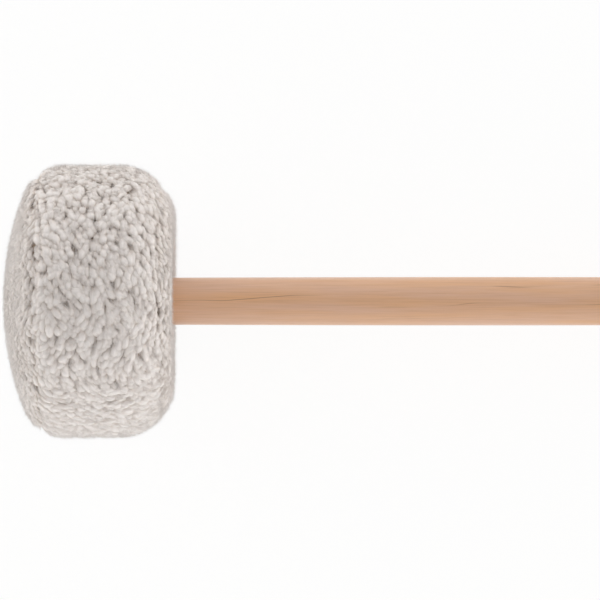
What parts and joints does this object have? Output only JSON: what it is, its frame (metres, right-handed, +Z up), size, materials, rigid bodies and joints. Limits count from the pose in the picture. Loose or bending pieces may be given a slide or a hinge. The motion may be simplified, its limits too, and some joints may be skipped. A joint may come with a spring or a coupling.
{
  "type": "gong mallet",
  "caption": "Gong mallet lying at rest: a drum-shaped fleece head with a domed striking face over felt and a weighted wooden core, on a plain turned wooden handle.",
  "frame": {"origin": "on the surface that the mallet lies on, under the middle of its bounding box", "axes": "+Z up; +X along the mallet from its head towards its butt; the mallet's own axis lies in the XZ plane and falls 9.5 degrees towards the butt"},
  "size_m": [0.358, 0.124, 0.1265],
  "materials": {
    "lacquered_maple": "satin",
    "core_wood": "matte",
    "raw_steel": "satin",
    "zinc_plate": "satin",
    "wool_felt": "matte",
    "fleece": "matte",
    "thread": "matte"
  },
  "bodies": {
    "root": {"handle": "lacquered_maple", "core_drum": "core_wood", "steel_weight": "raw_steel", "clamp_washer": "zinc_plate", "clamp_screw": "zinc_plate", "rim_felt": "wool_felt", "rear_felt": "wool_felt", "front_felt": "wool_felt", "front_dome_felt": "wool_felt", "fleece_front_panel": "fleece", "fleece_side_band": "fleece", "fleece_rear_panel": "fleece", "front_seam_thread": "thread", "rear_seam_thread": "thread", "side_seam_thread": "thread", "neck_cord": "thread"}
  },
  "joints": []
}
